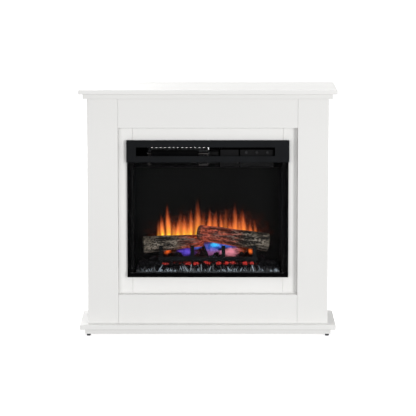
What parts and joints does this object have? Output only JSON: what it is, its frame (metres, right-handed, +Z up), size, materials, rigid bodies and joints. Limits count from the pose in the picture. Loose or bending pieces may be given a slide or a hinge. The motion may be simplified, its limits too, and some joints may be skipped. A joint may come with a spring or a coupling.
{
  "type": "electric fireplace",
  "caption": "White flat-wall mantel on a plinth round a black electric insert with a warm-air slot, glass front, logs on a grate over an ember bed, and a flame screen.",
  "frame": {"origin": "middle of the footprint, on the floor under the feet", "axes": "+X across the width to the right as seen from the front, +Y from the front back to the wall, +Z up"},
  "size_m": [0.93, 0.29, 0.902],
  "materials": {
    "white_paint": "white satin paint over fibreboard",
    "raw_board": "unpainted fibreboard",
    "feet": "dark grey moulded glides",
    "black_case": "black powder-coated sheet",
    "front_black": "satin black painted trim",
    "glass": "clear tempered glass",
    "plated_sheet": "plain plated sheet",
    "screen": "smoked diffusing screen",
    "embers": "moulded coal bed lit from below",
    "logs": "moulded painted bark",
    "grate": "black cast bar grate",
    "circuit": "green circuit board",
    "mirror_vanes": "bright mirror vanes on a steel shaft",
    "motor_steel": "plain steel motor can and stand",
    "bush": "natural moulded bush",
    "wheel": "pressed blower wheel",
    "blower_motor": "black motor can",
    "heater": "bare fins",
    "cutout": "ceramic thermal switch",
    "control_black": "fine-textured black plastic",
    "buttons": "dark grey buttons"
  },
  "bodies": {
    "fireplace": {"top_slab": "white_paint", "step_slab": "white_paint", "base_slab": "white_paint", "plinth_front": "white_paint", "plinth_left": "white_paint", "plinth_right": "white_paint", "pillar_board_left": "white_paint", "side_panel_left": "white_paint", "reveal_left": "white_paint", "infill_stile_left": "white_paint", "pillar_board_right": "white_paint", "side_panel_right": "white_paint", "reveal_right": "white_paint", "infill_stile_right": "white_paint", "header_board": "white_paint", "soffit_board": "white_paint", "lower_board": "white_paint", "ledge_board": "white_paint", "infill_rail_low": "white_paint", "infill_rail_top": "white_paint", "insert_shelf": "raw_board", "back_rail": "raw_board", "foot_front_left": "feet", "foot_front_right": "feet", "foot_back_left": "feet", "foot_back_right": "feet", "case_left": "black_case", "case_right": "black_case", "case_floor": "black_case", "case_roof": "black_case", "case_back": "black_case", "heater_shelf": "black_case", "outlet_baffle": "black_case", "front_trim": "front_black", "bottom_bezel": "front_black", "glass_rail_left": "front_black", "glass_rail_right": "front_black", "glass_pane": "glass", "blower_housing": "plated_sheet", "flame_screen": "screen", "ember_bed": "embers", "log_left": "logs", "log_right": "logs", "grate": "grate", "ember_light_board": "circuit", "flame_light_board": "circuit", "control_board": "circuit", "flicker_motor": "motor_steel", "rod_bush": "bush", "blower_motor": "blower_motor", "heater_element": "heater", "thermal_cutout": "cutout", "control_box": "control_black", "receiver_box": "control_black", "mains_inlet": "control_black"},
    "blower_wheel": {"blower_wheel": "wheel"},
    "flicker_rod": {"flicker_rod": "mirror_vanes"},
    "button_power": {"button_power": "buttons"},
    "button_flame": {"button_flame": "buttons"},
    "button_heat": {"button_heat": "buttons"}
  },
  "joints": [
    {"name": "blower_spin", "type": "hinge", "parent": "fireplace", "child": "blower_wheel", "pos_m": [-0.1, 0.031, 0.6503], "axis": [1, 0, 0], "continuous": true},
    {"name": "flicker_spin", "type": "hinge", "parent": "fireplace", "child": "flicker_rod", "pos_m": [-0.01, 0.049, 0.3015], "axis": [1, 0, 0], "continuous": true},
    {"name": "power_press", "type": "slide", "parent": "fireplace", "child": "button_power", "axis": [0, 1, 0], "range_m": [0, 0.0025], "stiffness_N_per_m": 400},
    {"name": "flame_press", "type": "slide", "parent": "fireplace", "child": "button_flame", "axis": [0, 1, 0], "range_m": [0, 0.0025], "stiffness_N_per_m": 400},
    {"name": "heat_press", "type": "slide", "parent": "fireplace", "child": "button_heat", "axis": [0, 1, 0], "range_m": [0, 0.0025], "stiffness_N_per_m": 400}
  ]
}
